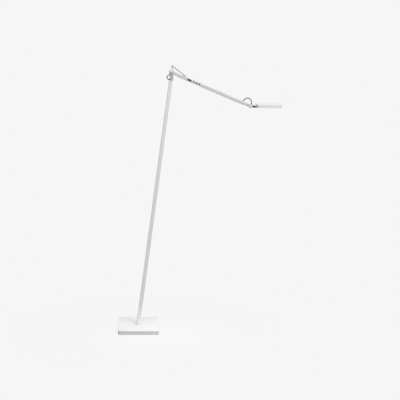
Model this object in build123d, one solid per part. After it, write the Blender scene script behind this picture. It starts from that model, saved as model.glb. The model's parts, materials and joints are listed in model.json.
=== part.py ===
from build123d import *
import os
from math import atan2, cos, degrees, hypot, pi, radians, sin, tan

# Adjustable arm floor lamp, in millimetres. The origin is the centre of the base's underside on the floor.
# +X points the way the arm reaches and +Z is up. The arm lies in the plane Y = 0.

# ---- driving dimensions ----
base_x, base_y, base_z = 164.0, 232.0, 17.0  # the heavy flat base
base_corner = 6.0
cover_wall, cover_lift = 2.0, 1.5  # painted shell and its gap above the floor
pad_thick = 2.0
shelf_z = 9.0  # underside of the step in the ballast that the swivel hangs from
collar_radius, collar_top = 11.5, 22.5  # disc under the pole
stop_reach = 15.0  # radius of the swivel's stop

pole_size, pole_corner, pole_wall = 14.5, 3.5, 1.6  # square tube with rounded corners
pole_lean = 7.42  # degrees from upright, towards +X
pole_foot = (-0.8, 20.2)  # a point (x, z) on the pole's centreline

elbow = (132.5, 1046.1)  # elbow hinge axis (x, z)
link = (135.1, 1072.3)  # tie rod pivot on the bracket (x, z)
link_round, link_pin_radius = 2.4, 1.6  # the bracket's rounded top and the pivot in it
elbow_pin_radius = 2.5
knuckle_x = (125.2, 138.7)
knuckle_bottom, knuckle_top = 1015.6, 1050.0
cable_inlet_z = 1018.6  # where the elbow cable enters the knuckle
cheek_in, cheek_out = 6.8, 8.8  # the knuckle's two cheeks, measured from the middle plane
plate_in = 5.2  # bracket plates fill the room from here to the cheeks

arm_drop = 23.06  # degrees below level at rest
arm_length = 328.6  # elbow axis to wrist axis
arm_height, arm_width, arm_wall, arm_corner = 13.4, 14.0, 1.6, 2.5
arm_start, arm_end = 28.0, 314.0  # where the tube starts and ends, from the elbow axis
hinge_half = 4.6  # half the thickness of the arm's hinge block
slot_half, slot_start, slot_end = 2.5, 28.0, 108.0  # open slot in the arm's top wall
rod_radius = 1.6
rod_end = (75.5, 1.9)  # rod end in the arm's own frame (along, above the centreline)
slider_x, slider_half, slider_end_wall = (67.5, 86.5), 4.8, 5.5
window_x, window_half, window_rise = (67.0, 85.5), 3.0, 0.2  # oval openings beside the slider
hole_reach, hole_radius, hole_rise = (95.5, 107.2, 118.9), 3.2, 0.6  # preload holes
spring_radius, anchor_x = 4.2, (176.0, 190.0)
preload_radius, preload_head = 2.0, 3.6

wrist_hub = 5.8
wrist_pin_radius, wrist_cheek, tongue_half = 2.0, 6.6, 4.0
block_x, block_y, block_z = (441.3, 458.0), 7.0, (905.4, 920.6)
cable_exit, block_cable_x = 306.0, 451.8  # wrist cable: along the arm, and on the block
neck_z, neck_radius, shaft_radius = 910.4, 4.5, 2.0
sleeve_length, neck_bore = 8.0, 1.0
head_x, head_half, head_z, head_corner = (472.5, 568.5), (48.0, 50.0), (908.3, 920.7), 9.0
bezel_thick = 2.2
button_x, button_radius, button_travel = 487.0, 4.0, 0.8

cable_radius = 1.6
running = 0.05  # radial clearance of a shaft that turns

wrist = (
    elbow[0] + arm_length * cos(radians(arm_drop)),
    elbow[1] - arm_length * sin(radians(arm_drop)),
)
nodes = {}


def block(x, y, z):
    """A box from its ranges along X, Y and Z."""
    middle = [(low + high) / 2 for low, high in (x, y, z)]
    return Pos(*middle) * Box(x[1] - x[0], y[1] - y[0], z[1] - z[0])


def upright(radius, z, at=(0, 0)):
    """A cylinder along Z."""
    return Pos(at[0], at[1], (z[0] + z[1]) / 2) * Cylinder(radius, z[1] - z[0])


def across(radius, y, at):
    """A cylinder along Y, at (x, z)."""
    return Pos(at[0], (y[0] + y[1]) / 2, at[1]) * Rot(90, 0, 0) * Cylinder(radius, y[1] - y[0])


def along(radius, x, at=(0, 0)):
    """A cylinder along X, at (y, z)."""
    return Pos((x[0] + x[1]) / 2, at[0], at[1]) * Rot(0, 90, 0) * Cylinder(radius, x[1] - x[0])


def both_sides(radius, y, at):
    """Two cylinders along Y, mirrored about the middle plane."""
    return across(radius, y, at) + across(radius, (-y[1], -y[0]), at)


def rounded_bar(width, depth, corner, z):
    """A bar along Z whose section is a rounded rectangle."""
    face = RectangleRounded(width, depth, corner)
    return Pos(0, 0, z[0]) * extrude(face, amount=z[1] - z[0])


def plate(points, y):
    """A flat plate across Y, from an outline in (x, z)."""
    outline = Polyline(*[(x, 0, z) for x, z in points], close=True)
    sheet = extrude(make_face(outline), amount=y[1] - y[0], dir=(0, 1, 0))
    return Pos(0, y[0], 0) * sheet


def on_arm(shape):
    """Places a shape made along +X from the elbow axis onto the sloping arm."""
    return Pos(elbow[0], 0, elbow[1]) * Rot(0, arm_drop, 0) * shape


def arm_point(reach, rise):
    """World (x, z) of a point in the arm's own frame."""
    a = radians(arm_drop)
    return (
        elbow[0] + reach * cos(a) + rise * sin(a),
        elbow[1] - reach * sin(a) + rise * cos(a),
    )


def on_pole(shape):
    """Places a shape made along +Z from the pole's foot onto the leaning pole."""
    return Pos(pole_foot[0], 0, pole_foot[1]) * Rot(0, pole_lean, 0) * shape


def cable(name, points):
    """A round cable along straight runs joined by tangent arcs, in the plane Y = 0."""
    runs = [hypot(b[0] - a[0], b[1] - a[1]) for a, b in zip(points, points[1:])]
    headings = [degrees(atan2(b[1] - a[1], b[0] - a[0])) for a, b in zip(points, points[1:])]
    radii = []
    for i in range(len(runs) - 1):
        turn = abs((headings[i + 1] - headings[i] + 180) % 360 - 180)
        radii.append(0.49 * min(runs[i], runs[i + 1]) / tan(radians(turn / 2)))
    path = FilletPolyline(*[(x, 0, z) for x, z in points], radius=radii)
    section = Plane(origin=path @ 0, z_dir=path % 0) * Circle(cable_radius)
    solid = sweep(section, path=path)
    expected = pi * cable_radius**2 * path.length
    print(name, "radii", [round(r, 1) for r in radii], "length", round(path.length, 1))
    print(name, "volume over section times length", round(solid.volume / expected, 4))
    return solid


def base():
    """Painted shell, steel ballast, rubber pad, screws and the cable inlet in the back."""
    inner_x, inner_y = base_x - 2 * cover_wall, base_y - 2 * cover_wall
    ceiling = base_z - cover_wall
    inlet = (0, 8.4)
    inlet_radius = 5.0
    back = base_y / 2

    shell = rounded_bar(base_x, base_y, base_corner, (cover_lift, base_z))
    shell = fillet(shell.faces().sort_by(Axis.Z)[-1].edges(), 1.0)
    shell -= rounded_bar(inner_x, inner_y, base_corner - cover_wall, (0, ceiling))
    shell -= upright(10.0, (0, base_z + 1))
    shell -= Pos(0, back, inlet[1]) * Rot(90, 0, 0) * Cylinder(inlet_radius, 20)
    screw_spots = [(x, y) for x in (-62, 62) for y in (-96, 96)]
    for spot in screw_spots:
        shell += upright(4.5, (6.0, ceiling), spot) - upright(1.98, (6.0, 14.0), spot)
    nodes["base_cover"] = shell

    ballast = rounded_bar(inner_x - 0.6, inner_y - 0.6, base_corner - cover_wall, (pad_thick, ceiling))
    ballast -= upright(10.0, (0, base_z)) + upright(18.0, (0, shelf_z))
    ballast -= block((-8, 8), (back - 26, back), (0, base_z))
    ballast -= upright(1.5, (shelf_z, shelf_z + 4), (stop_reach, 0))
    for spot in screw_spots:
        ballast -= upright(4.6, (4.0, base_z), spot)
        ballast -= Pos(spot[0], spot[1], 0) * upright(5.0, (0, 4.6))
    nodes["base_ballast"] = ballast

    pad = rounded_bar(base_x - 10, base_y - 10, base_corner, (0, pad_thick))
    nodes["base_pad"] = pad

    screws = None
    for spot in screw_spots:
        screw = upright(4.3, (2.2, 4.4), spot) + upright(1.95, (4.4, 13.5), spot)
        screw -= Pos(spot[0], spot[1], 2.2) * extrude(RegularPolygon(1.3, 6), amount=1.2)
        screws = screw if screws is None else screws + screw
    nodes["ballast_screws"] = screws

    gland = Pos(0, back - 1.0, inlet[1]) * Rot(90, 0, 0) * Cylinder(inlet_radius, 5.0)
    gland += Pos(0, back - cover_wall - 1.0, inlet[1]) * Rot(90, 0, 0) * Cylinder(6.2, 2.0)
    gland -= Pos(0, back, inlet[1]) * Rot(90, 0, 0) * Cylinder(3.25, 30)
    nodes["inlet_gland"] = gland


def swivel():
    """The bearing that the pole turns in, hung from the ballast's step, with its stop."""
    shaft = 8.0
    thread = 6.0
    bush = upright(10.0, (shelf_z, base_z)) - upright(shaft + running, (0, base_z + 1))
    nodes["swivel_bush"] = bush
    washer = upright(11.0, (base_z, base_z + 0.8)) - upright(shaft + running, (0, base_z + 2))
    nodes["thrust_washer"] = washer
    ring = upright(12.0, (shelf_z - 0.9, shelf_z)) - upright(shaft + running, (0, shelf_z + 1))
    nodes["wave_washer"] = ring
    nodes["stop_pin"] = upright(1.5, (5.6, shelf_z + 4), (stop_reach, 0))

    spigot = upright(shaft, (shelf_z - 1.0, collar_top - 4.6)) + upright(thread, (3.2, shelf_z))
    spigot += upright(5.0, (collar_top - 5, collar_top - 0.5))
    nodes["swivel_spigot"] = spigot
    lug = upright(12.6, (6.6, 7.9)) + block((-stop_reach - 1.2, 0), (-1.0, 1.0), (6.6, 7.9))
    nodes["stop_washer"] = lug - upright(thread, (0, 10))
    nut = extrude(RegularPolygon(10.0, 6), amount=3.2)
    nodes["spigot_nut"] = Pos(0, 0, 3.4) * nut - upright(thread, (0, 10))


def pole():
    """Leaning square tube with a cast foot at the bottom."""
    reach = 1100.0
    inner = pole_size - 2 * pole_wall
    span = block((-100, 300), (-50, 50), (collar_top, knuckle_bottom))
    outside = rounded_bar(pole_size, pole_size, pole_corner, (-40, reach))
    inside = rounded_bar(inner, inner, pole_corner - pole_wall, (-50, reach + 10))
    nodes["pole"] = on_pole(outside - inside) & span

    plug = on_pole(rounded_bar(inner, inner, pole_corner - pole_wall, (-10, 44)))
    plug &= block((-50, 50), (-50, 50), (collar_top - 1, 100))
    disc = upright(collar_radius, (base_z + 0.9, collar_top))
    disc = fillet(disc.edges().group_by(Axis.Z)[-1], 1.0)
    nodes["pole_foot"] = disc + plug - upright(5.0, (0, collar_top - 0.5))


def elbow_parts():
    """Forked knuckle on the pole, the bracket that carries the tie rod, and the hinge."""
    left, right = knuckle_x
    middle = (left + right) / 2
    fork_floor = 1022.5
    inner = pole_size - 2 * pole_wall

    knuckle = Pos(middle, 0, 0) * rounded_bar(
        right - left, 2 * cheek_out, 3.0, (knuckle_bottom, knuckle_top)
    )
    knuckle = fillet(knuckle.faces().sort_by(Axis.Z)[-1].edges(), 1.5)
    knuckle -= block((left - 5, right + 5), (-cheek_in, cheek_in), (fork_floor, knuckle_top + 5))
    plug = on_pole(rounded_bar(inner, inner, pole_corner - pole_wall, (900, 1060)))
    knuckle += plug & block((0, 300), (-20, 20), (knuckle_bottom - 30, knuckle_bottom + 1))
    knuckle -= across(elbow_pin_radius, (-20, 20), elbow)
    knuckle -= along(cable_radius + 0.9, (left - 2, left + 3.0), (0, cable_inlet_z))
    nodes["elbow_knuckle"] = knuckle
    grommet = along(cable_radius + 0.9, (left - 1.2, left + 3.0), (0, cable_inlet_z))
    grommet -= along(cable_radius, (left - 2, left + 2.0), (0, cable_inlet_z))
    nodes["pole_grommet"] = grommet

    top = link[1]
    outline = [
        (left + 0.6, 1036.0),
        (right - 0.3, 1036.0),
        (right + 2.3, 1050.0),
        (right + 1.4, 1058.0),
        (link[0] + 3.4, top + 0.8),
        (link[0] - 3.6, top + 0.8),
        (left + 4.0, 1060.0),
        (left - 0.9, 1052.0),
    ]
    for name, side in (("bracket_front", -1), ("bracket_rear", 1)):
        y = sorted((side * plate_in, side * cheek_in))
        sheet = plate(outline, y)
        sheet = fillet(sheet.edges().filter_by(Axis.Y), 1.2)
        sheet += across(link_round, y, link)
        sheet -= across(elbow_pin_radius, (-20, 20), elbow)
        sheet -= across(link_pin_radius, (-20, 20), link)
        nodes[name] = sheet

    nodes["elbow_pin"] = across(elbow_pin_radius, (-cheek_out, cheek_out), elbow)
    for name, side in (("elbow_cap_front", -1), ("elbow_cap_rear", 1)):
        y = sorted((side * cheek_out, side * (cheek_out + 1.6)))
        cap = across(4.4, y, elbow)
        nodes[name] = fillet(cap.edges().filter_by(GeomType.CIRCLE).sort_by(Axis.Y)[-side], 0.8)
    washers = both_sides(6.2, (hinge_half + 0.05, plate_in), elbow)
    nodes["elbow_washers"] = washers - across(elbow_pin_radius, (-20, 20), elbow)

    link_pin = across(link_pin_radius, (-cheek_in, cheek_in), link)
    link_pin += both_sides(2.9, (cheek_in, cheek_in + 1.1), link)
    nodes["link_pin"] = link_pin
    spacers = both_sides(2.4, (1.75, plate_in), link)
    spacers -= across(link_pin_radius, (-20, 20), link)
    nodes["link_spacers"] = spacers


def arm_shell():
    """The square arm tube, its slot, window and preload holes."""
    tube = rounded_bar(arm_width, arm_height, arm_corner, (arm_start, arm_end))
    inside = (arm_width - 2 * arm_wall, arm_height - 2 * arm_wall)
    tube -= rounded_bar(*inside, arm_corner - arm_wall, (arm_start - 1, arm_end + 1))
    tube = Rot(0, 0, 90) * tube
    tube = Rot(0, 90, 0) * tube
    long_slot = block((slot_start - 5, slot_end - slot_half), (-slot_half, slot_half), (0, 10))
    long_slot += upright(slot_half, (0, 10), (slot_end - slot_half, 0))
    tube -= long_slot
    ends = [window_x[0] + window_half, window_x[1] - window_half]
    rise = (window_rise - window_half, window_rise + window_half)
    tube -= block(ends, (-20, 20), rise)
    for end in ends:
        tube -= across(window_half, (-20, 20), (end, window_rise))
    for reach in hole_reach:
        tube -= across(hole_radius, (-20, 20), (reach, hole_rise))
    tube -= upright(2.9, (0, 10), (cable_exit, 0))
    nodes["upper_arm"] = on_arm(tube)


def arm_fittings():
    """Hinge block at the back of the arm, spring anchor inside, fork and cable outlet at the tip."""
    half = 6.1
    plug_half, plug_width = arm_height / 2 - arm_wall, arm_width / 2 - arm_wall
    back, groove_start, plug_end = -6.3, 17.0, 44.0
    hinge = across(half, (-hinge_half, hinge_half), (back, 0))
    hinge += block((back, arm_start), (-hinge_half, hinge_half), (-half, half))
    plug = block((arm_start, plug_end), (-plug_width, plug_width), (-plug_half, plug_half))
    hinge += fillet(plug.edges().filter_by(Axis.X), arm_corner - arm_wall)
    hinge -= block((groove_start, plug_end + 1), (-2.1, 2.1), (-0.5, 10))
    hinge -= across(elbow_pin_radius + running, (-20, 20), (0, 0))
    hinge -= upright(cable_radius, (-half - 2, -half + 2.5), (-4.0, 0))
    nodes["arm_hinge"] = on_arm(hinge)

    anchor = block(anchor_x, (-plug_width, plug_width), (-plug_half, plug_half))
    anchor = fillet(anchor.edges().filter_by(Axis.X), arm_corner - arm_wall)
    anchor -= along(preload_radius, (anchor_x[0] - 1, anchor_x[1] + 1))
    nodes["spring_anchor"] = on_arm(anchor)
    screw = along(preload_radius, (anchor_x[0] - 6.0, anchor_x[1] + 4.0))
    screw += along(preload_head, (anchor_x[1], anchor_x[1] + 4.0))
    nodes["preload_screw"] = on_arm(screw)
    spring = along(spring_radius, (slider_x[1], anchor_x[0] - 6.0))
    nodes["balance_spring"] = on_arm(spring)

    fork = block((arm_end - 18, arm_end), (-plug_width, plug_width), (-plug_half, plug_half))
    fork = fillet(fork.edges().filter_by(Axis.X), arm_corner - arm_wall)
    cheek_y = (-wrist_cheek, wrist_cheek)
    cheeks = block((arm_end, arm_length), cheek_y, (-wrist_hub, wrist_hub))
    cheeks += across(wrist_hub, cheek_y, (arm_length, 0))
    fork += cheeks - block(
        (arm_length - 6.4, arm_length + 10), (-tongue_half - 0.3, tongue_half + 0.3), (-10, 10)
    )
    fork -= across(wrist_pin_radius, (-20, 20), (arm_length, 0))
    fork -= upright(2.9, (4.0, 10), (cable_exit, 0))
    fork -= upright(cable_radius, (2.0, 10), (cable_exit, 0))
    nodes["wrist_fork"] = on_arm(fork)
    collar = upright(2.85, (4.0, arm_height / 2 + 0.2), (cable_exit, 0))
    collar -= upright(cable_radius, (4.0, 10), (cable_exit, 0))
    collar -= upright(cable_radius + 0.6, (5.2, 10), (cable_exit, 0))
    nodes["arm_grommet"] = on_arm(collar)
    nodes["wrist_pin"] = on_arm(across(wrist_pin_radius, cheek_y, (arm_length, 0)))
    for name, side in (("wrist_cap_front", -1), ("wrist_cap_rear", 1)):
        y = sorted((side * wrist_cheek, side * (wrist_cheek + 1.2)))
        cap = across(3.6, y, (arm_length, 0))
        cap = fillet(cap.edges().filter_by(GeomType.CIRCLE).sort_by(Axis.Y)[-side], 0.6)
        nodes[name] = on_arm(cap)


def linkage():
    """Tie rod from the bracket to the slider that pulls on the balance spring."""
    end = arm_point(*rod_end)
    length = hypot(end[0] - link[0], end[1] - link[1])
    slope = degrees(atan2(link[1] - end[1], end[0] - link[0]))
    rod = across(2.7, (-1.5, 1.5), (0, 0)) + along(rod_radius, (2.0, length))
    rod += Pos(length, 0, 0) * Sphere(rod_radius)
    rod -= across(link_pin_radius + running, (-5, 5), (0, 0))
    nodes["tie_rod"] = Pos(link[0], 0, link[1]) * Rot(0, slope, 0) * rod

    slider = block(slider_x, (-slider_half, slider_half), (-slider_half, slider_half))
    slider = fillet(slider.edges().filter_by(Axis.X), 0.8)
    slider -= block((slider_x[0] - 1, slider_x[1] - slider_end_wall), (-2.0, 2.0), (-10, 10))
    nodes["spring_slider"] = on_arm(slider)
    print("tie rod length", round(length, 2), "slope", round(slope, 2))


def wrist_parts():
    """The block that tilts on the arm's tip and holds the head's neck."""
    tongue = across(wrist_hub, (-tongue_half, tongue_half), wrist)
    tongue += block(
        (wrist[0], block_x[0]), (-tongue_half, tongue_half), (wrist[1] - wrist_hub, wrist[1] + 4.0)
    )
    body = block(block_x, (-block_y, block_y), block_z)
    body = fillet(body.edges(), 1.8)
    piece = tongue + body
    piece -= across(wrist_pin_radius + running, (-20, 20), wrist)
    piece -= along(shaft_radius + running, (block_x[1] - 13, block_x[1] + 5), (0, neck_z))
    piece -= upright(cable_radius + 1.0, (block_z[1] - 3.0, block_z[1] + 5), (block_cable_x, 0))
    nodes["wrist_block"] = piece
    grommet = upright(cable_radius + 1.0, (block_z[1] - 3.0, block_z[1] + 1.2), (block_cable_x, 0))
    grommet -= upright(cable_radius, (block_z[1] - 1.5, block_z[1] + 5), (block_cable_x, 0))
    nodes["block_grommet"] = grommet
    sleeve = along(neck_radius, (block_x[1], block_x[1] + sleeve_length), (0, neck_z))
    nodes["neck_sleeve"] = sleeve - along(shaft_radius + running, (block_x[1] - 1, head_x[0]), (0, neck_z))


def head():
    """Flat light head: shell, bezel, diffuser, light guide, LED board and switch."""
    low, high = head_z
    mid_x = (head_x[0] + head_x[1]) / 2
    wall, roof = 1.6, 1.5
    rim = low + bezel_thick
    board = (915.1, 916.7)
    frame_width, step_width, guide_inset, boss_inset = 10.5, 8.5, 11.0, 6.5

    def panel(inset, corner, z):
        """A plate whose sides lie inside the head's outline by the inset."""
        wide, deep = 2 * (head_half[0] - inset), 2 * (head_half[1] - inset)
        return Pos(mid_x, 0, 0) * rounded_bar(wide, deep, corner, z)

    shell = panel(0, head_corner, (rim, high))
    shell = fillet(shell.faces().sort_by(Axis.Z)[-1].edges(), 1.0)
    shell -= panel(wall, head_corner - wall, (rim - 1, high - roof))
    boss_x, boss_y = head_half[0] - boss_inset, head_half[1] - boss_inset
    boss_spots = [(mid_x + i * boss_x, j * boss_y) for i in (-1, 1) for j in (-1, 1)]
    for spot in boss_spots:
        shell += upright(3.2, (rim, high - roof), spot) - upright(1.2, (rim, high - 3), spot)
    neck_way = along(shaft_radius, (head_x[0] - 1, head_x[0] + 6), (0, neck_z))
    shell -= neck_way
    shell -= upright(button_radius + 0.15, (high - 5, high + 1), (button_x, 0))
    nodes["head_housing"] = shell

    ring = panel(0, head_corner, (low, rim))
    ring = fillet(ring.faces().sort_by(Axis.Z)[0].edges(), 0.8)
    ring -= neck_way
    ring -= panel(frame_width, 3.0, (low - 1, rim + 1))
    ring -= panel(step_width, 4.0, (low + 0.7, rim + 1))
    for spot in boss_spots:
        ring -= upright(1.2, (low - 1, rim + 1), spot) + upright(2.3, (low - 1, low + 1.0), spot)
    nodes["head_bezel"] = ring
    nodes["diffuser"] = panel(step_width + 0.2, 3.8, (low + 0.7, rim))
    nodes["light_guide"] = panel(guide_inset, 3.0, (rim, rim + 3.0))
    nodes["led_board"] = panel(guide_inset, 3.0, board)
    chips = None
    pitch, chip_half = 13.0, 1.5
    for i in range(6):
        for j in range(6):
            x, y = mid_x + pitch * (i - 2.5), pitch * (j - 2.5)
            sides = (x - chip_half, x + chip_half), (y - chip_half, y + chip_half)
            chip = block(*sides, (rim + 4.0, board[0]))
            chips = chip if chips is None else chips + chip
    nodes["led_chips"] = chips
    screws = None
    for spot in boss_spots:
        screw = upright(2.2, (low + 0.1, low + 1.0), spot) + upright(1.15, (low + 1.0, low + 8), spot)
        screw -= Pos(spot[0], spot[1], low) * extrude(RegularPolygon(0.9, 6), amount=0.7)
        screws = screw if screws is None else screws + screw
    nodes["head_screws"] = screws

    shaft = along(shaft_radius, (block_x[1] - 11, head_x[0] + 4.6), (0, neck_z))
    shaft += along(neck_radius, (block_x[1] + sleeve_length + 0.3, head_x[0]), (0, neck_z))
    nodes["neck_shaft"] = shaft - along(neck_bore, (block_x[1] - 20, head_x[0] + 10), (0, neck_z))
    clamp_x = (head_x[0] + wall, head_x[0] + wall + 2.6)
    clamp = block(clamp_x, (-6.0, 6.0), (rim + 0.1, high - roof - 1.0))
    clamp = fillet(clamp.edges().filter_by(Axis.X), 0.8)
    nodes["neck_clamp"] = clamp - along(shaft_radius, (head_x[0], head_x[0] + 10), (0, neck_z))

    button = upright(button_radius, (high - 1.8, high + 0.5), (button_x, 0))
    button = fillet(button.edges().group_by(Axis.Z)[-1], 0.4)
    button += upright(button_radius + 0.9, (high - 2.7, high - 1.8), (button_x, 0))
    nodes["dimmer_button"] = button
    switch_top = high - 2.7 - button_travel - 0.1
    switch = block((button_x - 3, button_x + 3), (-3, 3), (board[1], switch_top))
    nodes["dimmer_switch"] = switch


def cables():
    """The two free loops: from the pole into the arm's tail, and from the arm into the wrist block."""
    nodes["elbow_cable"] = cable(
        "elbow_cable",
        [
            arm_point(-4.0, -3.6),
            arm_point(-4.0, -12.4),
            (115.8, 1034.4),
            (112.6, 1026.6),
            (116.8, cable_inlet_z),
            (knuckle_x[0] + 2.0, cable_inlet_z),
        ],
    )
    nodes["wrist_cable"] = cable(
        "wrist_cable",
        [
            arm_point(cable_exit, 4.0),
            arm_point(cable_exit, 7.6),
            (428.8, 942.6),
            (437.0, 945.4),
            (444.6, 942.6),
            (449.8, 936.0),
            (block_cable_x, 928.8),
            (block_cable_x, block_z[1] - 1.5),
        ],
    )


base()
swivel()
pole()
elbow_parts()
arm_shell()
arm_fittings()
linkage()
wrist_parts()
head()
cables()

os.makedirs("parts", exist_ok=True)
for name, shape in nodes.items():
    export_step(shape, f"parts/{name}.step")
print(len(nodes), "nodes")
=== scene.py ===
import json
import math

import bmesh
import bpy
from mathutils import Matrix, Vector


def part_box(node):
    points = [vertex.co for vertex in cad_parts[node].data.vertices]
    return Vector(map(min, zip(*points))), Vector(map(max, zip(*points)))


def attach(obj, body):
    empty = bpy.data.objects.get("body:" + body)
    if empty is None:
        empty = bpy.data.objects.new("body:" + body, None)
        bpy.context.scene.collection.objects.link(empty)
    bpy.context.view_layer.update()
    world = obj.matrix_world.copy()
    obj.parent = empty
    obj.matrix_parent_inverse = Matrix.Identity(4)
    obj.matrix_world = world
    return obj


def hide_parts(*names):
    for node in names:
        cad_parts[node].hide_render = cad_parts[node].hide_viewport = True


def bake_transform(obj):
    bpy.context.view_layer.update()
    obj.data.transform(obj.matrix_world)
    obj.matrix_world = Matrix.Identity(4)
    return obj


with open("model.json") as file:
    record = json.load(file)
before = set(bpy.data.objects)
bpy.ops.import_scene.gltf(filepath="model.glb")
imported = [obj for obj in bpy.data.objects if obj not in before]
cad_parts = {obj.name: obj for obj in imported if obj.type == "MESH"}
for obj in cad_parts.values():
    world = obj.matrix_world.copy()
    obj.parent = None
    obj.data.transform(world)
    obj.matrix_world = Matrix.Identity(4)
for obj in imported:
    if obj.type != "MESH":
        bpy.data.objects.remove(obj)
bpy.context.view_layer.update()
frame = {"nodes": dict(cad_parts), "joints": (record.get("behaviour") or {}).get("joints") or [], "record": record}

mm = 0.001
scene = bpy.context.scene
joints = {joint["name"]: joint for joint in frame["joints"]}
elbow = Vector(joints["elbow_hinge"]["pos_m"])
link = Vector(joints["rod_swing"]["pos_m"])
wrist = Vector(joints["wrist_tilt"]["pos_m"])
armWay = Vector(joints["slider_travel"]["axis"]).normalized()  # down the arm from the elbow
sideWay = Vector((0, 1, 0))
paints = {}

# Pieces are made in millimetres, on the floor's axes or on the arm's.
# These two bring them to their place in metres.
onFloor = Matrix.Scale(mm, 4)


def axesAt(origin, way):
    # first axis along way, second to the lamp's rear, third upwards
    rise = way.cross(sideWay)
    turn = Matrix((way, sideWay, rise)).transposed().to_4x4()
    return Matrix.Translation(origin) @ turn @ Matrix.Scale(mm, 4)


onArm = axesAt(elbow, armWay)


# The camera stands square to the arm, a little above the lamp's head.

camera = {
    "place": (-0.0011, -4.854, 1.2766),
    "pitchDown": 8.72,
    "lens": 109.1,
    "shiftX": 0.1543,
}


def makeCamera():
    data = bpy.data.cameras.new("studioCamera")
    data.lens = camera["lens"]
    data.shift_x = camera["shiftX"]
    data.clip_start, data.clip_end = 0.1, 100
    eye = bpy.data.objects.new("studioCamera", data)
    eye.location = camera["place"]
    eye.rotation_euler = (math.radians(90 - camera["pitchDown"]), 0, 0)
    scene.collection.objects.link(eye)
    scene.camera = eye


# Shader steps that the room and the finishes share.


def grey(value):
    return (value, value, value, 1)


def addNode(tree, kind, values=(), **settings):
    node = tree.nodes.new(kind)
    for name, value in settings.items():
        setattr(node, name, value)
    for name, value in dict(values).items():
        node.inputs[name].default_value = value
    return node


def wire(tree, source, node, name):
    tree.links.new(source, node.inputs[name])


def remap(tree, source, fromRange, toRange):
    node = addNode(tree, "ShaderNodeMapRange", interpolation_type="SMOOTHSTEP")
    ends = ("From Min", "From Max", "To Min", "To Max")
    for name, value in zip(ends, (*fromRange, *toRange)):
        node.inputs[name].default_value = value
    wire(tree, source, node, "Value")
    return node.outputs[0]


def combine(tree, how, *sources):
    result = sources[0]
    for source in sources[1:]:
        node = addNode(tree, "ShaderNodeMath", operation=how)
        tree.links.new(result, node.inputs[0])
        tree.links.new(source, node.inputs[1])
        result = node.outputs[0]
    return result


# A pale sweep under soft light, with a dark card on the left that draws the lamp's left edges.

room = {
    "paper": 0.9215,  # how bright the backdrop and floor look
    "floorSide": 40.0,
    "paperWhite": 0.9,  # the same paper where it takes shadows
    "nearBounce": 0.1,  # how much light the floor gives the lamp, beside the base and far from it
    "farBounce": 0.6,
    "bounceReach": (0.1, 1.2),
    "shadowShare": 0.1,  # how much of the floor's look takes the lamp's shadow
    "shadowReach": (0.1, 0.7),
    "horizon": 0.8,
    "sky": 0.75,
    "skyRise": (0, 0.8),
    "leftCard": 0.0,  # how bright the room is at its left and right ends
    "leftFade": (-0.92, -0.55),
    "rightEdge": 0.05,
    "rightFade": (0.7, 0.9),
}

softboxes = {
    "overheadBox": {"place": (0.4, -0.4, 3.2), "aim": (0.2, 0, 0.6), "size": 2.0, "power": 28},
    "rightBox": {"place": (2.2, -2.8, 1.6), "aim": (0.2, 0, 0.6), "size": 1.6, "power": 26},
}

baseSpot = {"place": (0.9, -1.1, 2.5), "aim": (0.1, -0.15, 0), "cone": 13, "size": 0.15, "power": 110}


def makeWorld():
    world = bpy.data.worlds.new("studio")
    scene.world = world
    world.use_nodes = True
    tree = world.node_tree
    tree.nodes.clear()
    way = addNode(tree, "ShaderNodeTexCoord")
    split = addNode(tree, "ShaderNodeSeparateXYZ")
    wire(tree, way.outputs["Generated"], split, 0)
    height = remap(tree, split.outputs["Z"], room["skyRise"], (room["horizon"], room["sky"]))
    left = remap(tree, split.outputs["X"], room["leftFade"], (room["leftCard"], 1))
    right = remap(tree, split.outputs["X"], room["rightFade"], (1, room["rightEdge"]))
    light = addNode(tree, "ShaderNodeBackground")
    wire(tree, combine(tree, "MULTIPLY", left, right, height), light, "Color")
    paper = addNode(tree, "ShaderNodeBackground", {"Color": grey(room["paper"])})
    path = addNode(tree, "ShaderNodeLightPath")
    pick = addNode(tree, "ShaderNodeMixShader")
    wire(tree, path.outputs["Is Camera Ray"], pick, 0)
    wire(tree, light.outputs[0], pick, 1)
    wire(tree, paper.outputs[0], pick, 2)
    wire(tree, pick.outputs[0], addNode(tree, "ShaderNodeOutputWorld"), "Surface")


def makeFloor():
    paper = bpy.data.materials.new("palePaper")
    paper.use_nodes = True
    tree = paper.node_tree
    tree.nodes.clear()
    path = addNode(tree, "ShaderNodeLightPath")
    glow = addNode(tree, "ShaderNodeEmission", {"Color": grey(room["paper"])})
    bounce = addNode(tree, "ShaderNodeMix", {"B": 1})
    wire(tree, path.outputs["Is Camera Ray"], bounce, "Factor")
    wire(tree, bounce.outputs[0], glow, "Strength")
    matt = addNode(tree, "ShaderNodeBsdfDiffuse", {"Color": grey(room["paperWhite"])})
    spot = addNode(tree, "ShaderNodeTexCoord")
    away = addNode(tree, "ShaderNodeVectorMath", operation="LENGTH")
    wire(tree, spot.outputs["Object"], away, 0)
    bounceEnds = (room["nearBounce"], room["farBounce"])
    given = remap(tree, away.outputs["Value"], room["bounceReach"], bounceEnds)
    wire(tree, given, bounce, "A")
    share = remap(tree, away.outputs["Value"], room["shadowReach"], (room["shadowShare"], 0))
    both = addNode(tree, "ShaderNodeMixShader")
    wire(tree, share, both, 0)
    wire(tree, glow.outputs[0], both, 1)
    wire(tree, matt.outputs[0], both, 2)
    wire(tree, both.outputs[0], addNode(tree, "ShaderNodeOutputMaterial"), "Surface")

    bm = bmesh.new()
    bmesh.ops.create_grid(bm, x_segments=1, y_segments=1, size=room["floorSide"] / 2)
    mesh = bpy.data.meshes.new("paleFloor")
    bm.to_mesh(mesh)
    bm.free()
    mesh.materials.append(paper)
    floor = bpy.data.objects.new("paleFloor", mesh)
    scene.collection.objects.link(floor)


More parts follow.
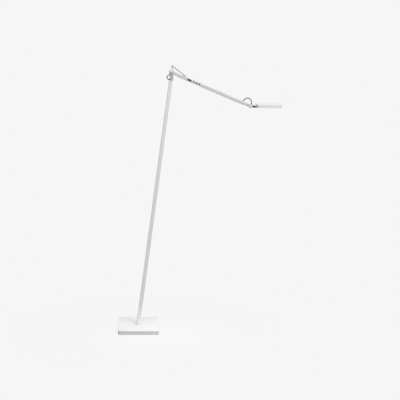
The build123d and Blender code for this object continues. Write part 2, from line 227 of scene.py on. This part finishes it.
def hangLight(name, kind, look):
    data = bpy.data.lights.new(name, kind)
    data.energy = look["power"]
    light = bpy.data.objects.new(name, data)
    light.location = look["place"]
    aim = Vector(look["aim"]) - Vector(look["place"])
    light.rotation_euler = aim.to_track_quat("-Z", "Y").to_euler()
    light.visible_camera = False
    scene.collection.objects.link(light)
    return data


def makeLights():
    for name, box in softboxes.items():
        hangLight(name, "AREA", box).size = box["size"]
    spot = hangLight("baseSpot", "SPOT", baseSpot)  # brightens the base towards its near right corner
    spot.spot_size, spot.spot_blend = math.radians(baseSpot["cone"]), 1
    spot.shadow_soft_size = baseSpot["size"]


# Mesh steps that several pieces share.


def turned(profile, steps=32, ring=False):
    # spins (radius, height) pairs about the third axis; a ring's profile closes on itself
    bm = bmesh.new()
    rim = [bm.verts.new((radius, 0, height)) for radius, height in profile]
    ends = zip(rim, rim[1:] + rim[:1]) if ring else zip(rim, rim[1:])
    edges = [bm.edges.new(pair) for pair in ends]
    bmesh.ops.spin(
        bm, geom=rim + edges, cent=(0, 0, 0), axis=(0, 0, 1), angle=math.tau, steps=steps, use_merge=True
    )
    bmesh.ops.remove_doubles(bm, verts=bm.verts, dist=1e-4)
    bmesh.ops.recalc_face_normals(bm, faces=bm.faces)
    return bm


def soften(bm, width, segments=2, angle=30):
    bmesh.ops.recalc_face_normals(bm, faces=bm.faces)
    limit = math.radians(angle)
    crisp = [edge for edge in bm.edges if edge.is_manifold and edge.calc_face_angle(0) > limit]
    bmesh.ops.bevel(
        bm, geom=crisp, offset=width, affect="EDGES", segments=segments, profile=0.5, material=-1,
        clamp_overlap=True,
    )
    return bm


def makeHex(bm, reach):
    # pulls what is nearer the axis than reach into a hexagon
    for vert in bm.verts:
        if 0 < vert.co.xy.length <= reach:
            corner = math.atan2(vert.co.y, vert.co.x) % math.radians(60) - math.radians(30)
            narrow = math.cos(math.radians(30)) / math.cos(corner)
            bmesh.ops.scale(bm, vec=(narrow, narrow, 1), verts=[vert])


def slab(outline, low, high):
    # a plate from its outline, between two heights
    bm = bmesh.new()
    face = bm.faces.new([bm.verts.new((x, y, low)) for x, y in outline])
    grown = bmesh.ops.extrude_face_region(bm, geom=[face])["geom"]
    top = [part for part in grown if isinstance(part, bmesh.types.BMVert)]
    bmesh.ops.translate(bm, verts=top, vec=(0, 0, high - low))
    bmesh.ops.recalc_face_normals(bm, faces=bm.faces)
    return bm


def turnTo(way):
    return Vector((0, 0, 1)).rotation_difference(Vector(way)).to_matrix().to_4x4()


def put(bm, place, way=(0, 0, 1)):
    bmesh.ops.transform(bm, matrix=Matrix.Translation(place) @ turnTo(way), verts=bm.verts)
    return bm


def join(first, *others):
    for other in others:
        mesh = bpy.data.meshes.new("part")
        other.to_mesh(mesh)
        other.free()
        first.from_mesh(mesh)
        bpy.data.meshes.remove(mesh)
    return first


def swept(stations, sides):
    # stations are (point, way, radius); the run lies in the plane of the arm
    frames = []
    for point, way, radius in stations:
        turn = Matrix((sideWay.cross(way), sideWay, way)).transposed().to_4x4()
        frames.append(Matrix.Translation(point) @ turn @ Matrix.Scale(radius, 4))
    bm = bmesh.new()
    bmesh.ops.create_circle(bm, cap_ends=True, segments=sides, radius=1, matrix=frames[0])
    rim = list(bm.edges)
    for last, spot in zip(frames, frames[1:]):
        grown = bmesh.ops.extrude_edge_only(bm, edges=rim)["geom"]
        fresh = {part for part in grown if isinstance(part, bmesh.types.BMVert)}
        bmesh.ops.transform(bm, matrix=spot @ last.inverted(), verts=list(fresh))
        rim = [
            part for part in grown
            if isinstance(part, bmesh.types.BMEdge) and fresh.issuperset(part.verts)
        ]
    bmesh.ops.contextual_create(bm, geom=rim)
    return bm


def finish(name, bm, axes, slotName, body=None, replaced=(), sharp=32):
    bmesh.ops.transform(bm, matrix=axes, verts=bm.verts)
    bmesh.ops.recalc_face_normals(bm, faces=bm.faces)
    mesh = bpy.data.meshes.new(name)
    bm.to_mesh(mesh)
    bm.free()
    mesh.shade_smooth()
    mesh.set_sharp_from_angle(angle=math.radians(sharp))
    mesh.materials.append(paints[slotName])
    thing = bpy.data.objects.new(name, mesh)
    scene.collection.objects.link(thing)
    if replaced:
        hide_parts(*replaced)
    if body:
        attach(thing, body)
    return thing


# Finishes. They share these node groups, and each has its own values below.


def makeGroup(name, sockets, outputs):
    group = bpy.data.node_groups.new(name, "ShaderNodeTree")
    for name, value in sockets.items():
        socket = group.interface.new_socket(name=name, in_out="INPUT", socket_type="NodeSocketFloat")
        socket.default_value = value
    for name in outputs:
        group.interface.new_socket(name=name, in_out="OUTPUT", socket_type="NodeSocketFloat")
    return group, group.nodes.new("NodeGroupInput"), group.nodes.new("NodeGroupOutput")


def makeGrainGroup():
    # fine relief, and slow variation over the whole piece
    scales = {"fineScale": 900, "wideScale": 9}
    group, given, result = makeGroup("surfaceGrain", scales, ("relief", "variation"))
    spot = addNode(group, "ShaderNodeTexCoord")
    fine = addNode(group, "ShaderNodeTexNoise", {"Detail": 3, "Roughness": 0.55})
    wide = addNode(group, "ShaderNodeTexNoise", {"Detail": 4, "Roughness": 0.5})
    for noise, scale, out in ((fine, "fineScale", "relief"), (wide, "wideScale", "variation")):
        wire(group, spot.outputs["Object"], noise, "Vector")
        wire(group, given.outputs[scale], noise, "Scale")
        wire(group, noise.outputs["Fac"], result, out)
    return group


def makeBrushGroup():
    # short scratches that run one way, as a belt leaves them
    scales = {"scale": 700, "stretch": 0.04}
    group, given, result = makeGroup("brushLines", scales, ("relief", "streaks"))
    spot = addNode(group, "ShaderNodeTexCoord")
    split = addNode(group, "ShaderNodeSeparateXYZ")
    wire(group, spot.outputs["Object"], split, 0)
    shorter = combine(group, "MULTIPLY", split.outputs["Y"], given.outputs["stretch"])
    joinAxes = addNode(group, "ShaderNodeCombineXYZ")
    wire(group, split.outputs["X"], joinAxes, "X")
    wire(group, shorter, joinAxes, "Y")
    wire(group, split.outputs["Z"], joinAxes, "Z")
    lines = addNode(group, "ShaderNodeTexNoise", {"Detail": 4, "Roughness": 0.7})
    wire(group, joinAxes.outputs[0], lines, "Vector")
    wire(group, given.outputs["scale"], lines, "Scale")
    wire(group, lines.outputs["Fac"], result, "relief")
    wire(group, remap(group, lines.outputs["Fac"], (0.3, 0.7), (0, 1)), result, "streaks")
    return group


def makeEdgeGroup():
    # a mask along outer edges and corners, broken up by a noise
    group, given, result = makeGroup("edgeRub", {"width": 0.0006, "breakScale": 160}, ("edge",))
    flat = addNode(group, "ShaderNodeNewGeometry")
    bend = addNode(group, "ShaderNodeBevel", samples=4)
    wire(group, given.outputs["width"], bend, "Radius")
    alike = addNode(group, "ShaderNodeVectorMath", operation="DOT_PRODUCT")
    wire(group, flat.outputs["Normal"], alike, 0)
    wire(group, bend.outputs[0], alike, 1)
    rounded = remap(group, alike.outputs["Value"], (0.86, 0.995), (1, 0))
    spot = addNode(group, "ShaderNodeTexCoord")
    noise = addNode(group, "ShaderNodeTexNoise", {"Detail": 3})
    wire(group, spot.outputs["Object"], noise, "Vector")
    wire(group, given.outputs["breakScale"], noise, "Scale")
    broken = remap(group, noise.outputs["Fac"], (0.3, 0.6), (0.35, 1))
    wire(group, combine(group, "MULTIPLY", rounded, broken), result, "edge")
    return group


def makeDustGroup():
    # a thin film on what faces upwards
    group, given, result = makeGroup("restingDust", {"scale": 60}, ("dust",))
    flat = addNode(group, "ShaderNodeNewGeometry")
    split = addNode(group, "ShaderNodeSeparateXYZ")
    wire(group, flat.outputs["Normal"], split, 0)
    up = remap(group, split.outputs["Z"], (0.4, 0.98), (0, 1))
    spot = addNode(group, "ShaderNodeTexCoord")
    noise = addNode(group, "ShaderNodeTexNoise", {"Detail": 6, "Roughness": 0.7})
    wire(group, spot.outputs["Object"], noise, "Vector")
    wire(group, given.outputs["scale"], noise, "Scale")
    specks = remap(group, noise.outputs["Fac"], (0.42, 0.68), (0, 1))
    wire(group, combine(group, "MULTIPLY", up, specks), result, "dust")
    return group


finishes = {
    "white_paint": {
        "colour": (0.83, 0.83, 0.83), "deeper": (0.815, 0.815, 0.815), "edgeColour": (0.88, 0.88, 0.88),
        "edge": 0.06, "dust": 0.005, "rough": (0.28, 0.31), "coat": 0.5, "coatRough": 0.1,
        "fine": 1100, "wide": 5, "bump": 0.008, "depth": 0.0001,
    },
    # painted shade: a darker copy of the white paint, so the arm looks more shaded than the pole
    "arm_paint": {
        "colour": (0.69, 0.69, 0.69), "deeper": (0.67, 0.67, 0.67), "edgeColour": (0.74, 0.74, 0.74),
        "edge": 0.06, "dust": 0.005, "rough": (0.34, 0.38), "coat": 0.3, "coatRough": 0.15,
        "fine": 1100, "wide": 6, "bump": 0.01, "depth": 0.0001,
    },
    "cast_grey": {
        "colour": (0.5, 0.5, 0.505), "deeper": (0.46, 0.46, 0.465), "edgeColour": (0.6, 0.6, 0.6),
        "edge": 0.25, "dust": 0.01, "rough": (0.36, 0.46), "coat": 0.2, "coatRough": 0.2,
        "fine": 1400, "wide": 40, "bump": 0.12, "depth": 0.00015,
    },
    "ballast_steel": {
        "colour": (0.2, 0.2, 0.21), "deeper": (0.1, 0.1, 0.105), "edgeColour": (0.5, 0.5, 0.5),
        "edge": 0.6, "metal": 1, "rough": (0.45, 0.65),
        "fine": 500, "wide": 20, "bump": 0.3, "depth": 0.0003,
    },
    "base_rubber": {
        "colour": (0.03, 0.03, 0.03), "deeper": (0.015, 0.015, 0.015), "rough": (0.75, 0.95),
        "dust": 0.1, "fine": 1800, "wide": 40, "bump": 0.5, "depth": 0.0003,
    },
    "plain_steel": {
        "colour": (0.38, 0.38, 0.39), "deeper": (0.26, 0.26, 0.27), "edgeColour": (0.6, 0.6, 0.61),
        "edge": 0.5, "metal": 1, "rough": (0.24, 0.4), "brush": 900, "bump": 0.12, "depth": 0.0001,
    },
    "cap_metal": {
        "colour": (0.66, 0.66, 0.67), "deeper": (0.56, 0.56, 0.57), "edgeColour": (0.8, 0.8, 0.8),
        "edge": 0.5, "metal": 1, "rough": (0.36, 0.5), "brush": 1300, "bump": 0.1, "depth": 0.0001,
    },
    "dark_plastic": {
        "colour": (0.018, 0.018, 0.019), "deeper": (0.009, 0.009, 0.01), "edgeColour": (0.06, 0.06, 0.06),
        "edge": 0.4, "dust": 0.05, "rough": (0.42, 0.6),
        "fine": 2200, "wide": 60, "bump": 0.3, "depth": 0.0002,
    },
    # near black: painted shade, so the spring seen through the arm's holes reads as the dark inside of the arm
    "dark_metal": {
        "colour": (0.018, 0.018, 0.02), "deeper": (0.01, 0.01, 0.011), "edgeColour": (0.08, 0.08, 0.085),
        "edge": 0.3, "metal": 0.1, "shine": 0.25, "rough": (0.4, 0.55),
        "brush": 1200, "bump": 0.15, "depth": 0.0001,
    },
    "bearing_plastic": {
        "colour": (0.7, 0.69, 0.64), "deeper": (0.6, 0.59, 0.54), "rough": (0.35, 0.5),
        "fine": 1500, "wide": 40, "bump": 0.15, "depth": 0.0001,
    },
    "anchor_metal": {
        "colour": (0.6, 0.6, 0.61), "deeper": (0.45, 0.45, 0.46), "edgeColour": (0.85, 0.85, 0.86),
        "edge": 0.5, "metal": 1, "rough": (0.3, 0.42), "brush": 700, "bump": 0.15, "depth": 0.0001,
    },
    "cable_black": {
        "colour": (0.006, 0.006, 0.006), "deeper": (0.003, 0.003, 0.003), "dust": 0.004, "shine": 0.12,
        "rough": (0.6, 0.75), "fine": 2600, "wide": 120, "bump": 0.2, "depth": 0.00015,
    },
    "diffuser_plastic": {
        "colour": (0.82, 0.82, 0.81), "deeper": (0.76, 0.76, 0.75), "rough": (0.4, 0.55),
        "fine": 2400, "wide": 30, "bump": 0.25, "depth": 0.0002,
    },
    "guide_acrylic": {
        "colour": (0.92, 0.94, 0.95), "deeper": (0.86, 0.9, 0.92), "rough": (0.02, 0.08),
        "clear": 0.9, "fine": 800, "wide": 20, "bump": 0.03, "depth": 0.0001,
    },
    "board_aluminium": {
        "colour": (0.8, 0.81, 0.82), "deeper": (0.7, 0.71, 0.72), "rough": (0.35, 0.5),
        "fine": 1200, "wide": 50, "bump": 0.15, "depth": 0.0001,
    },
    "led_yellow": {
        "colour": (0.85, 0.66, 0.16), "deeper": (0.75, 0.55, 0.1), "rough": (0.3, 0.45),
        "fine": 3000, "wide": 300, "bump": 0.2, "depth": 0.0001,
    },
    "button_plastic": {
        "colour": (0.82, 0.82, 0.82), "deeper": (0.78, 0.78, 0.78), "edgeColour": (0.9, 0.9, 0.9),
        "edge": 0.3, "rough": (0.2, 0.3), "coat": 0.3, "coatRough": 0.1,
        "fine": 1800, "wide": 80, "bump": 0.08, "depth": 0.0001,
    },
}


dustColour = (0.6, 0.59, 0.57)


def mixColour(tree, factor, first, second):
    node = addNode(tree, "ShaderNodeMix", data_type="RGBA")
    wire(tree, factor, node, "Factor")
    for socket, value in ((node.inputs[6], first), (node.inputs[7], second)):
        if isinstance(value, tuple):
            socket.default_value = (*value, 1)
        else:
            tree.links.new(value, socket)
    return node.outputs[2]


def makeFinish(name, look, groups):
    paint = bpy.data.materials.new(name)
    paint.use_nodes = True
    tree = paint.node_tree
    tree.nodes.clear()
    skin = addNode(tree, "ShaderNodeBsdfPrincipled", {"Metallic": look.get("metal", 0)})
    wire(tree, skin.outputs[0], addNode(tree, "ShaderNodeOutputMaterial"), "Surface")
    skin.inputs["Coat Weight"].default_value = look.get("coat", 0)
    skin.inputs["Coat Roughness"].default_value = look.get("coatRough", 0.1)
    skin.inputs["Transmission Weight"].default_value = look.get("clear", 0)
    skin.inputs["Specular IOR Level"].default_value = look.get("shine", 0.5)

    if "brush" in look:
        grain = addNode(tree, "ShaderNodeGroup", node_tree=groups["brush"])
        grain.inputs["scale"].default_value = look["brush"]
        relief, variation = grain.outputs["relief"], grain.outputs["streaks"]
    else:
        grain = addNode(tree, "ShaderNodeGroup", node_tree=groups["grain"])
        grain.inputs["fineScale"].default_value = look["fine"]
        grain.inputs["wideScale"].default_value = look["wide"]
        relief = grain.outputs["relief"]
        variation = remap(tree, grain.outputs["variation"], (0.35, 0.65), (0, 1))
    colour = mixColour(tree, variation, look["colour"], look["deeper"])
    rough = remap(tree, variation, (0, 1), look["rough"])
    if "edge" in look:
        rub = addNode(tree, "ShaderNodeGroup", node_tree=groups["edge"])
        edge = remap(tree, rub.outputs["edge"], (0, 1), (0, look["edge"]))
        colour = mixColour(tree, edge, colour, look["edgeColour"])
    if "dust" in look:
        film = addNode(tree, "ShaderNodeGroup", node_tree=groups["dust"])
        dust = remap(tree, film.outputs["dust"], (0, 1), (0, look["dust"]))
        colour = mixColour(tree, dust, colour, dustColour)
        rough = combine(tree, "ADD", rough, dust)
    wire(tree, colour, skin, "Base Color")
    wire(tree, rough, skin, "Roughness")
    bump = addNode(tree, "ShaderNodeBump", {"Strength": look["bump"], "Distance": look["depth"]})
    wire(tree, relief, bump, "Height")
    wire(tree, bump.outputs[0], skin, "Normal")
    return paint


def makeFinishes():
    groups = {
        "grain": makeGrainGroup(),
        "brush": makeBrushGroup(),
        "edge": makeEdgeGroup(),
        "dust": makeDustGroup(),
    }
    for name, look in finishes.items():
        paints[name] = makeFinish(name, look, groups)


def paintNodes():
    # every part that comes from the CAD takes its slot's finish
    for part in frame["record"]["subparts"]:
        thing = frame["nodes"][part["node"]]
        if not thing.material_slots:
            thing.data.materials.append(None)
        for spot in thing.material_slots:
            spot.material = paints[part["material_slot"]]


# The two free loops of cable. Route points are (first axis, height) in metres.

elbowLoop = {
    "route": (
        (0.12741, 1.04435), (0.12396, 1.03626), (0.1158, 1.0344),
        (0.1126, 1.0266), (0.1168, 1.0186), (0.1272, 1.0186),
    ),
    "exit": (0.1272, 0, 1.0186),
    "length": 0.0424,
    "bendFrom": 1.0195,  # the bend's lower end, where the cable meets the pole
    "bendTo": 1.0360,  # the bend's upper end, where the cable meets the arm
}

wristLoop = {
    "route": (
        (0.41562, 0.92992), (0.41703, 0.93323), (0.4288, 0.9426), (0.4370, 0.9454),
        (0.4446, 0.9426), (0.4498, 0.9360), (0.4518, 0.9288), (0.4518, 0.9191),
    ),
    "exit": (0.41562, 0, 0.92992),
    "length": 0.0602,
    "bendFrom": 0.4205,
    "bendTo": 0.4500,
}

cableLook = {"diameter": 0.0032, "sides": 20, "resolution": 14}


def routePath(name, route):
    line = bpy.data.curves.new(name, "CURVE")
    line.dimensions = "3D"
    line.resolution_u = cableLook["resolution"]
    spline = line.splines.new("NURBS")
    spline.points.add(len(route) - 1)
    for spot, (x, z) in zip(spline.points, route):
        spot.co = (x, 0, z, 1)
    spline.order_u = 3
    spline.use_endpoint_u = True
    holder = bpy.data.objects.new(name, line)
    mesh = bpy.data.meshes.new_from_object(holder)
    path = [vert.co.copy() for vert in mesh.vertices]
    bpy.data.objects.remove(holder)
    bpy.data.curves.remove(line)
    bpy.data.meshes.remove(mesh)
    return path


def stationsOn(path, radii=None):
    # a station at each point, or at each (distance, radius) along the path
    ways = [(after - before).normalized() for before, after in zip(path, path[1:])]
    if radii is None:
        middles = [ways[0], *((a + b).normalized() for a, b in zip(ways, ways[1:])), ways[-1]]
        return [(point, way, cableLook["diameter"] / 2) for point, way in zip(path, middles)]
    stations = []
    for distance, radius in radii:
        left, point, way = distance * mm, path[0], ways[0]
        for before, after in zip(path, path[1:]):
            run = (after - before).length
            point, way = before.lerp(after, min(1, left / run)), (after - before).normalized()
            if left <= run:
                break
            left -= run
        stations.append((point, way, radius * mm))
    return stations


def makeCable(name, loop, nodeName):
    path = routePath(name + "Route", loop["route"])
    bm = swept(stationsOn(path), cableLook["sides"])
    cable = finish(name, bm, Matrix.Identity(4), "cable_black", replaced=(nodeName,), sharp=60)
    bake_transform(cable)
    return path


def makeCables():
    elbowPath = makeCable(
        "elbowCable", elbowLoop, "elbow_cable"
    )
    wristPath = makeCable(
        "wristCable", wristLoop, "wrist_cable"
    )
    return elbowPath, wristPath


# Strain reliefs follow the cable: (distance from the cable's end, radius), in millimetres.

reliefLook = {"sides": 28, "edge": 0.1}

reliefs = {
    "poleGrommet": {
        "node": "pole_grommet", "body": "pole", "cable": "elbow", "fromEnd": True,
        "radii": ((0.2, 2.45), (1.9, 2.45), (2.0, 3.3), (3.0, 3.3), (3.2, 2.9), (3.5, 2.3), (4.1, 2.3),
                  (4.3, 2.6), (4.8, 2.6), (5.0, 2.1), (5.6, 2.1), (5.8, 2.35), (6.3, 2.3), (6.5, 1.75)),
    },
    "tailGrommet": {
        "body": "arm", "cable": "elbow", "fromEnd": False,
        "radii": ((0.8, 2.2), (2.2, 2.2), (2.4, 2.9), (3.4, 2.9), (3.7, 2.3), (4.2, 2.2), (4.4, 1.75)),
    },
    "armGrommet": {
        "node": "arm_grommet", "body": "arm", "cable": "wrist", "fromEnd": False,
        "radii": ((0.2, 2.8), (3.3, 2.8), (3.5, 2.4), (4.0, 2.2), (4.4, 2.2), (4.6, 2.35), (5.0, 2.3),
                  (5.2, 2.0), (5.6, 1.95), (5.9, 1.75)),
    },
    "blockGrommet": {
        "node": "block_grommet", "body": "wrist", "cable": "wrist", "fromEnd": True,
        "radii": ((0.1, 2.5), (1.4, 2.5), (1.5, 3.2), (2.4, 3.2), (2.7, 2.6), (3.0, 2.2), (3.6, 2.2),
                  (3.8, 2.45), (4.3, 2.4), (4.5, 1.95), (5.0, 1.75)),
    },
}


def makeReliefs(paths):
    for name, relief in reliefs.items():
        path = paths[relief["cable"]]
        if relief["fromEnd"]:
            path = path[::-1]
        bm = swept(stationsOn(path, relief["radii"]), reliefLook["sides"])
        soften(bm, reliefLook["edge"] * mm, 1, 40)
        replaced = (relief["node"],) if "node" in relief else ()
        finish(name, bm, Matrix.Identity(4), "dark_plastic", relief["body"], replaced, sharp=50)


# Turned caps with a hexagon socket, on the elbow and the wrist.

caps = {
    "elbow": {"radius": 4.4, "height": 1.6, "face": 8.8, "socket": 1.9, "depth": 1.2, "body": "pole"},
    "wrist": {"radius": 3.6, "height": 1.2, "face": 6.6, "socket": 1.5, "depth": 0.9, "body": "arm"},
}


def hexCap(cap):
    radius, height, socket = cap["radius"], cap["height"], cap["socket"]
    groove = radius * 0.8
    bm = turned(
        (
            (0, 0), (radius - 0.25, 0), (radius, 0.25), (radius, height - 0.4), (radius - 0.4, height),
            (groove + 0.12, height + 0.02), (groove, height - 0.12), (groove - 0.12, height + 0.03),
            (socket + 0.5, height + 0.06), (socket + 0.15, height + 0.02), (socket, height - 0.15),
            (socket, height - cap["depth"]), (0, height - cap["depth"] - 0.25),
        ),
        steps=48,
    )
    makeHex(bm, socket + 0.01)
    return bm


def makeCaps():
    for joint, spot in (("elbow", elbow), ("wrist", wrist)):
        cap = caps[joint]
        for side, where in ((-1, "front"), (1, "rear")):
            bm = put(hexCap(cap), spot / mm + sideWay * side * cap["face"], sideWay * side)
            name = f"{joint}Cap{where.title()}"
            finish(name, bm, onFloor, "cap_metal", cap["body"], (f"{joint}_cap_{where}",), sharp=28)


# The pivot pin on the bracket, the tie rod and the slider that it pushes.

linkage = {
    "pinRadius": 1.6, "pinHead": 2.9, "pinFace": 6.8, "pinHeight": 1.1, "pinSocket": 1.15,
    "rodEnd": (75.5, 1.9),  # along the arm and above its centreline
    "rodRadius": 1.6, "eyeRadius": 2.7, "eyeBore": 1.66, "eyeHalf": 1.5,
    "threadLength": 14, "threads": 16, "threadPitch": 0.75, "threadHalf": 0.28,
}

slider = {
    "low": 67.5, "high": 86.5, "halfWidth": 4.8, "halfHeight": 4.8, "slotHalf": 2.0, "slotEnd": 81.0,
    "ridges": (70.5, 73.0, 75.5, 78.0, 80.5, 83.0), "ridgeWidth": 0.9, "ridgeOut": 0.2, "ridgeHalf": 3.4,
}


def makeLinkPin():
    face, height, head = linkage["pinFace"], linkage["pinHeight"], linkage["pinHead"]
    radius, socket = linkage["pinRadius"], linkage["pinSocket"]
    shank = turned(((0, -face), (radius, -face), (radius, face), (0, face)))
    shapes = [put(shank, link / mm, sideWay)]
    for side in (-1, 1):
        knob = turned(
            (
                (0, 0), (head - 0.2, 0), (head, 0.2), (head, height - 0.3), (head - 0.3, height),
                (socket + 0.35, height + 0.25), (socket + 0.15, height + 0.2), (socket, height - 0.1),
                (socket, 0.5), (0, 0.35),
            ),
            steps=36,
        )
        makeHex(knob, socket + 0.01)
        shapes.append(put(knob, link / mm + sideWay * side * face, sideWay * side))
    finish("linkPin", join(*shapes), onFloor, "plain_steel", "pole", ("link_pin",), sharp=28)


def makeTieRod():
    along, rise = linkage["rodEnd"]
    end = onArm @ Vector((along, 0, rise))
    way = (end - link).normalized()
    length = (end - link).length / mm
    eye, bore, half = linkage["eyeRadius"], linkage["eyeBore"], linkage["eyeHalf"]
    radius, threaded = linkage["rodRadius"], length - linkage["threadLength"]
    ring = turned(((bore, -half), (eye, -half), (eye, half), (bore, half)), steps=36, ring=True)
    soften(ring, 0.3)
    shank = turned(
        (
            (0, eye - 0.6), (radius + 0.4, eye - 0.6), (radius + 0.4, eye + 1.4), (radius, eye + 2.2),
            (radius, threaded), (radius - 0.2, threaded + 0.4), (radius - 0.2, length - 0.9),
            (radius - 0.7, length - 0.1), (0, length + 0.3),
        ),
        steps=28,
    )
    root, crest, flank = radius - 0.25, radius + 0.02, linkage["threadHalf"]
    threads = []
    for count in range(linkage["threads"]):
        middle = threaded + 1.2 + count * linkage["threadPitch"]
        profile = ((root, middle - flank), (crest, middle), (root, middle + flank))
        threads.append(turned(profile, steps=20, ring=True))
    rod = join(shank, *threads)
    whole = join(put(rod, link / mm, way), put(ring, link / mm, sideWay))
    finish("tieRod", whole, onFloor, "plain_steel", "rod", ("tie_rod",), sharp=28)


def makeSlider():
    low, high, wide, tall = slider["low"], slider["high"], slider["halfWidth"], slider["halfHeight"]
    slot, slotEnd = slider["slotHalf"], slider["slotEnd"]
    outline = (
        (low, -wide), (high, -wide), (high, wide), (low, wide), (low, slot), (slotEnd, slot),
        (slotEnd, -slot), (low, -slot),
    )
    body = soften(slab(outline, -tall, tall), 0.6, 3)
    ridges = []
    half, out = slider["ridgeHalf"], slider["ridgeOut"]
    for reach in slider["ridges"]:
        for side in (-1, 1):
            edge = slider["ridgeWidth"] / 2
            near, far = sorted((side * (wide - 0.3), side * (wide + out)))
            back, front = reach - edge, reach + edge
            ridge = slab(((back, near), (front, near), (front, far), (back, far)), -half, half)
            ridges.append(soften(ridge, 0.12, 1))
    finish("springSlider", join(body, *ridges), onArm, "dark_plastic", "slider", ("spring_slider",))


# The balance spring: a wire coil between the slider and its anchor.

spring = {"start": 87.5, "end": 169.0, "radius": 3.35, "wire": 0.68, "turns": 46, "perTurn": 18}


def makeSpring():
    bm = bmesh.new()
    length = spring["end"] - spring["start"]
    steps = spring["turns"] * spring["perTurn"]
    ring = bmesh.ops.create_circle(
        bm, segments=8, radius=spring["wire"], matrix=Matrix.Translation((0, spring["radius"], 0))
    )
    edges = list(bm.edges)
    bmesh.ops.spin(
        bm, geom=ring["verts"] + edges, cent=(0, 0, 0), axis=(1, 0, 0), dvec=(length / steps, 0, 0),
        angle=math.tau * spring["turns"], steps=steps, use_merge=False,
    )
    bmesh.ops.holes_fill(bm, edges=[edge for edge in bm.edges if edge.is_boundary], sides=0)
    bmesh.ops.translate(bm, verts=bm.verts, vec=(spring["start"], 0, 0))
    # the spring's near-black finish is painted shade for the inside of the arm
    thing = finish("balanceSpring", bm, onArm, "dark_metal", replaced=("balance_spring",), sharp=60)
    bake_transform(thing)


# The neck's grooved sleeve, the dished dimmer button and the lens panel under the head.

sleeve = {"radius": 4.5, "bore": 2.05, "grooves": (1.1, 2.2, 3.3, 4.4, 5.5, 6.6), "groove": 0.35}

button = {"radius": 4.0, "dish": 0.35, "skirt": 4.9}

lens = {"across": 20, "deep": 21, "bump": 0.28, "inset": 0.35, "corner": 3.5}


def makeSleeve():
    low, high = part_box("neck_sleeve")
    length = (high.x - low.x) / mm
    outer, depth = sleeve["radius"], sleeve["groove"]
    profile = [(sleeve["bore"], 0), (outer - 0.3, 0), (outer, 0.3)]
    for groove in sleeve["grooves"]:
        profile += [(outer, groove - 0.25), (outer - depth, groove), (outer, groove + 0.25)]
    profile += [(outer, length - 0.3), (outer - 0.3, length), (sleeve["bore"], length)]
    bm = turned(profile, steps=40, ring=True)
    middle = Vector((low.x, 0, (low.z + high.z) / 2)) / mm
    bm = put(bm, middle, (1, 0, 0))
    finish("neckSleeve", bm, onFloor, "dark_plastic", "wrist", ("neck_sleeve",), sharp=28)


def makeButton():
    low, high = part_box("dimmer_button")
    radius, skirt = button["radius"], button["skirt"]
    height = (high.z - low.z) / mm
    bm = turned(
        (
            (0, 0), (skirt, 0), (skirt, 0.85), (radius, 0.9), (radius, height - 0.45),
            (radius - 0.12, height - 0.15), (radius - 0.4, height), (radius - 0.8, height - 0.02),
            (radius - 1.2, height - 0.14),
            (1.6, height - button["dish"]), (0, height - button["dish"] - 0.05),
        ),
        steps=48,
    )
    middle = Vector(((low.x + high.x) / 2, 0, low.z)) / mm
    bm = put(bm, middle)
    finish("dimmerButton", bm, onFloor, "button_plastic", "button", ("dimmer_button",), sharp=28)


def makeLens():
    low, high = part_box("diffuser")
    wide, deep = (high.x - low.x) / mm, (high.y - low.y) / mm
    cell = wide / lens["across"]
    bm = bmesh.new()
    bmesh.ops.create_grid(bm, x_segments=lens["across"], y_segments=lens["deep"], size=0.5)
    bmesh.ops.scale(bm, vec=(wide, deep, 1), verts=bm.verts)
    inner = []
    for face in bm.faces:
        spot = face.calc_center_median()
        if min(wide / 2 - abs(spot.x), deep / 2 - abs(spot.y)) > cell:
            inner.append(face)
    bmesh.ops.inset_individual(bm, faces=inner, thickness=lens["inset"])
    bumps = list({v for face in inner for v in face.verts})
    bmesh.ops.translate(bm, verts=bumps, vec=(0, 0, -lens["bump"]))
    rim = [edge for edge in bm.edges if edge.is_boundary]
    skirt = bmesh.ops.extrude_edge_only(bm, edges=rim)["geom"]
    up = [part for part in skirt if isinstance(part, bmesh.types.BMVert)]
    bmesh.ops.translate(bm, verts=up, vec=(0, 0, (high.z - low.z) / mm))
    bmesh.ops.holes_fill(bm, edges=[edge for edge in bm.edges if edge.is_boundary], sides=0)
    corner = [
        edge for edge in bm.edges
        if all(abs(v.co.x) > wide / 2 - 0.01 and abs(v.co.y) > deep / 2 - 0.01 for v in edge.verts)
    ]
    bmesh.ops.bevel(
        bm, geom=corner, offset=lens["corner"], affect="EDGES", segments=6, profile=0.5, material=-1,
    )
    middle = Vector(((low.x + high.x) / 2, 0, low.z)) / mm
    finish("lensPanel", put(bm, middle), onFloor, "diffuser_plastic", "head", ("diffuser",), sharp=28)


# The cable gland in the base's back.

gland = {"bore": 3.25, "radius": 4.95, "flange": 6.2, "lip": 5.8}


def makeGland():
    low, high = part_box("inlet_gland")
    depth = (high.y - low.y) / mm
    bore, radius, flange, lip = gland["bore"], gland["radius"], gland["flange"], gland["lip"]
    bm = turned(
        (
            (bore + 0.4, depth + 0.6), (bore, depth + 0.2), (bore, 0.3), (bore + 0.3, 0), (flange - 0.3, 0),
            (flange, 0.3), (flange, 1.8), (radius, 2.0), (radius, depth - 1.4), (lip, depth - 1.3),
            (lip, depth - 0.2), (lip - 0.5, depth + 0.4), (bore + 0.9, depth + 0.75),
        ),
        steps=48, ring=True,
    )
    middle = Vector((0, low.y, (low.z + high.z) / 2)) / mm
    bm = put(bm, middle, sideWay)
    finish("inletGland", bm, onFloor, "dark_plastic", "base", ("inlet_gland",), sharp=28)


scene.view_settings.view_transform = "Standard"
scene.view_settings.look = "None"
makeCamera()
makeWorld()
makeFloor()
makeLights()
print("camera, room and lights are ready")
makeFinishes()
paintNodes()
print("finishes are on", len(frame["nodes"]), "parts")
elbowPath, wristPath = makeCables()
makeReliefs({"elbow": elbowPath, "wrist": wristPath})
print("cables and strain reliefs are in")
makeCaps()
makeLinkPin()
makeTieRod()
makeSlider()
makeSpring()
print("joints, linkage and spring are in")
makeSleeve()
makeButton()
makeLens()
makeGland()
print("head, neck and base details are in")
